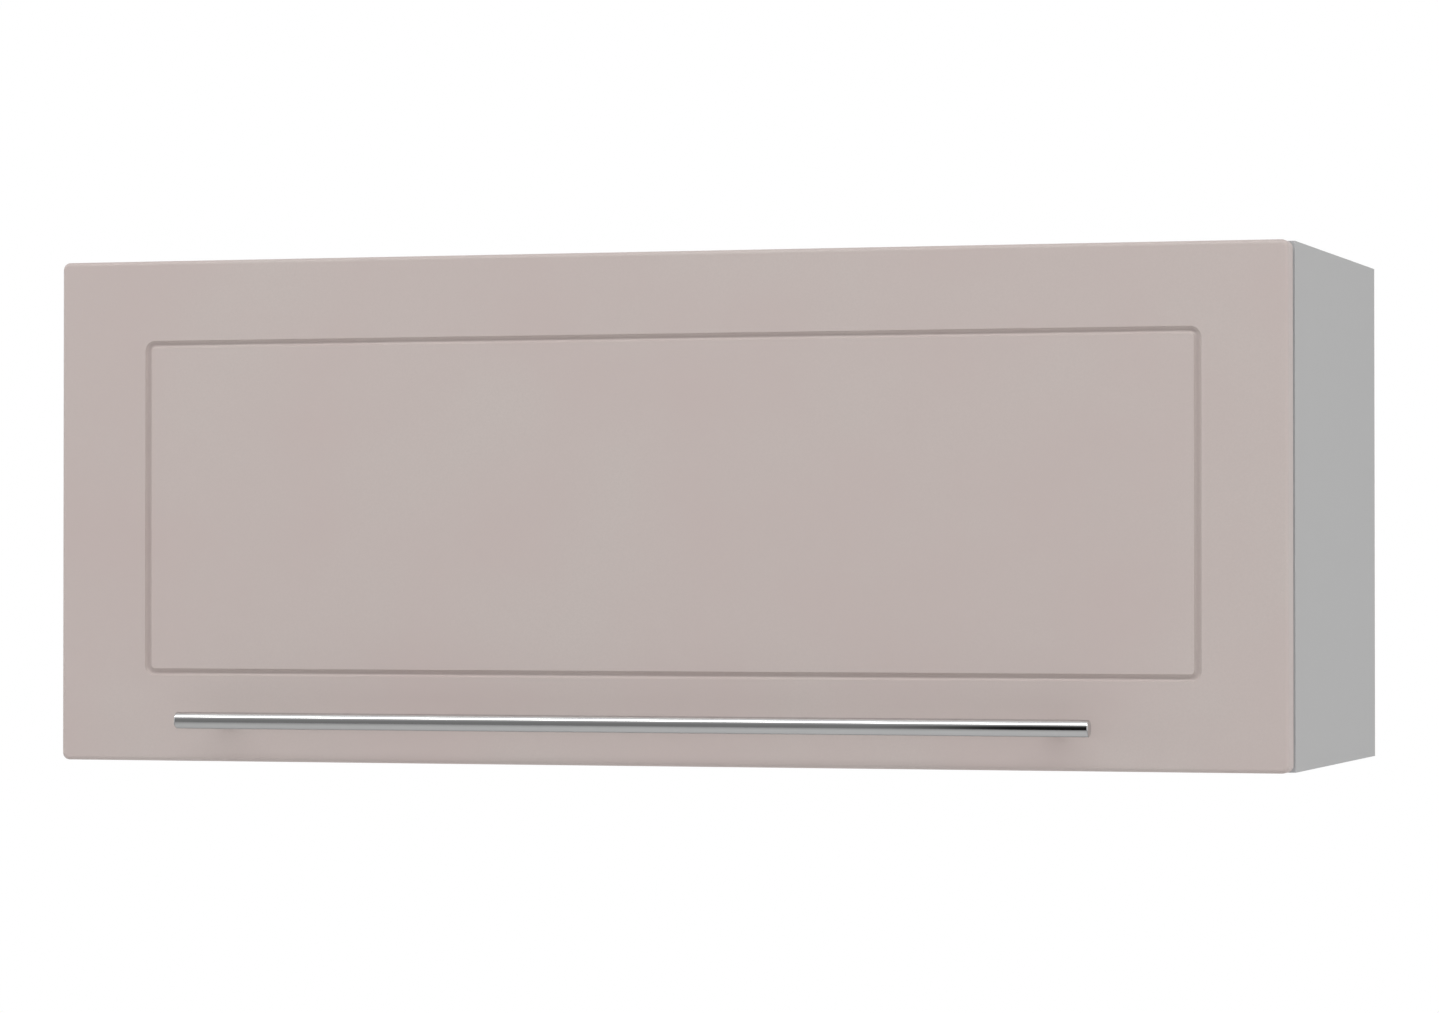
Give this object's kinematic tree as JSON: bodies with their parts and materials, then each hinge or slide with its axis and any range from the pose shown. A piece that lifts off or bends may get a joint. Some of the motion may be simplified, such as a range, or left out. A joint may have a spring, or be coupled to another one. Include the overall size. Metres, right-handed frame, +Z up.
{
  "type": "lift up wall cabinet",
  "caption": "Wide low wall cabinet in light grey with a top-hung flap in matt cashmere, a milled frame groove, a slim chrome bar handle and spring lift stays.",
  "frame": {"origin": "on the wall plane, at the centre of the wall bolts of the two hanging plates, in the middle of the cabinet's width", "axes": "+X to the right seen from the front, +Y into the wall (the front faces -Y), +Z up"},
  "size_m": [0.9, 0.3795, 0.36],
  "materials": {
    "carcass_board": "light grey melamine on chipboard, fine matt pearl texture",
    "back_board": "pale grey printed hardboard, satin",
    "beech": "plain beech, fluted",
    "zinc_casting": "raw die-cast zinc",
    "zinc_plated_steel": "bright zinc-plated steel",
    "nickel_plated_steel": "nickel-plated pressed steel",
    "white_plastic": "off-white moulded plastic",
    "grey_plastic": "light grey moulded plastic",
    "flap_finish": "cashmere matt film on milled fibreboard",
    "handle_chrome": "bright chrome",
    "clear_rubber": "clear soft bumper"
  },
  "bodies": {
    "carcass": {"side_panel_left": "carcass_board", "side_panel_right": "carcass_board", "top_panel": "carcass_board", "bottom_panel": "carcass_board", "back_panel": "back_board", "front_edge_bands": "carcass_board", "dowels": "beech", "cam_housings": "zinc_casting", "cam_bolts": "zinc_plated_steel", "cam_caps": "carcass_board", "hanger_housing_left": "white_plastic", "hanger_housing_right": "white_plastic", "hanger_hook_left": "zinc_plated_steel", "hanger_hook_right": "zinc_plated_steel", "hanger_screws": "zinc_plated_steel", "hanger_cover_left": "white_plastic", "hanger_cover_right": "white_plastic", "wall_plate_left": "zinc_plated_steel", "wall_plate_right": "zinc_plated_steel", "hinge_plate_left": "nickel_plated_steel", "hinge_plate_right": "nickel_plated_steel", "hinge_plate_screws": "zinc_plated_steel", "hinge_arm_left": "nickel_plated_steel", "hinge_arm_right": "nickel_plated_steel", "hinge_arm_screws": "zinc_plated_steel", "stay_housing_left": "white_plastic", "stay_housing_right": "white_plastic", "stay_cover_left": "grey_plastic", "stay_cover_right": "grey_plastic", "stay_screw_set": "zinc_plated_steel", "stay_tension_screws": "zinc_plated_steel", "stay_shafts": "zinc_plated_steel"},
    "flap": {"flap_panel": "flap_finish", "handle_tube": "handle_chrome", "handle_end_caps": "handle_chrome", "handle_posts": "handle_chrome", "handle_screws": "zinc_plated_steel", "hinge_cup_left": "nickel_plated_steel", "hinge_cup_right": "nickel_plated_steel", "hinge_pins": "zinc_plated_steel", "hinge_cup_screws": "zinc_plated_steel", "flap_bracket_left": "zinc_plated_steel", "flap_bracket_right": "zinc_plated_steel", "flap_bracket_pins": "zinc_plated_steel", "flap_bracket_screws": "zinc_plated_steel", "bumper_pads": "clear_rubber"},
    "left_arm": {"lift_arm_left": "zinc_plated_steel", "arm_pin_left": "zinc_plated_steel"},
    "right_arm": {"lift_arm_right": "zinc_plated_steel", "arm_pin_right": "zinc_plated_steel"},
    "left_link": {"link_lever_left": "zinc_plated_steel"},
    "right_link": {"link_lever_right": "zinc_plated_steel"}
  },
  "joints": [
    {"name": "flap_hinge", "type": "hinge", "parent": "carcass", "child": "flap", "pos_m": [0, -0.339, 0.04261], "axis": [-1, 0, 0], "range_deg": [0, 95]},
    {"name": "left_arm_pivot", "type": "hinge", "parent": "carcass", "child": "left_arm", "pos_m": [-0.4085, -0.299, -0.008], "axis": [-1, 0, 0], "range_deg": [0, 95]},
    {"name": "left_link_pivot", "type": "hinge", "parent": "left_arm", "child": "left_link", "pos_m": [-0.4045, -0.275, -0.11061], "axis": [-1, 0, 0], "range_deg": [-95, 0]},
    {"name": "right_arm_pivot", "type": "hinge", "parent": "carcass", "child": "right_arm", "pos_m": [0.4085, -0.299, -0.008], "axis": [-1, 0, 0], "range_deg": [0, 95]},
    {"name": "right_link_pivot", "type": "hinge", "parent": "right_arm", "child": "right_link", "pos_m": [0.4045, -0.275, -0.11061], "axis": [-1, 0, 0], "range_deg": [-95, 0]}
  ],
  "couplings": [
    {"joint": "left_arm_pivot", "follows": "flap_hinge", "ratio": 1},
    {"joint": "left_link_pivot", "follows": "flap_hinge", "ratio": -1},
    {"joint": "right_arm_pivot", "follows": "flap_hinge", "ratio": 1},
    {"joint": "right_link_pivot", "follows": "flap_hinge", "ratio": -1}
  ]
}
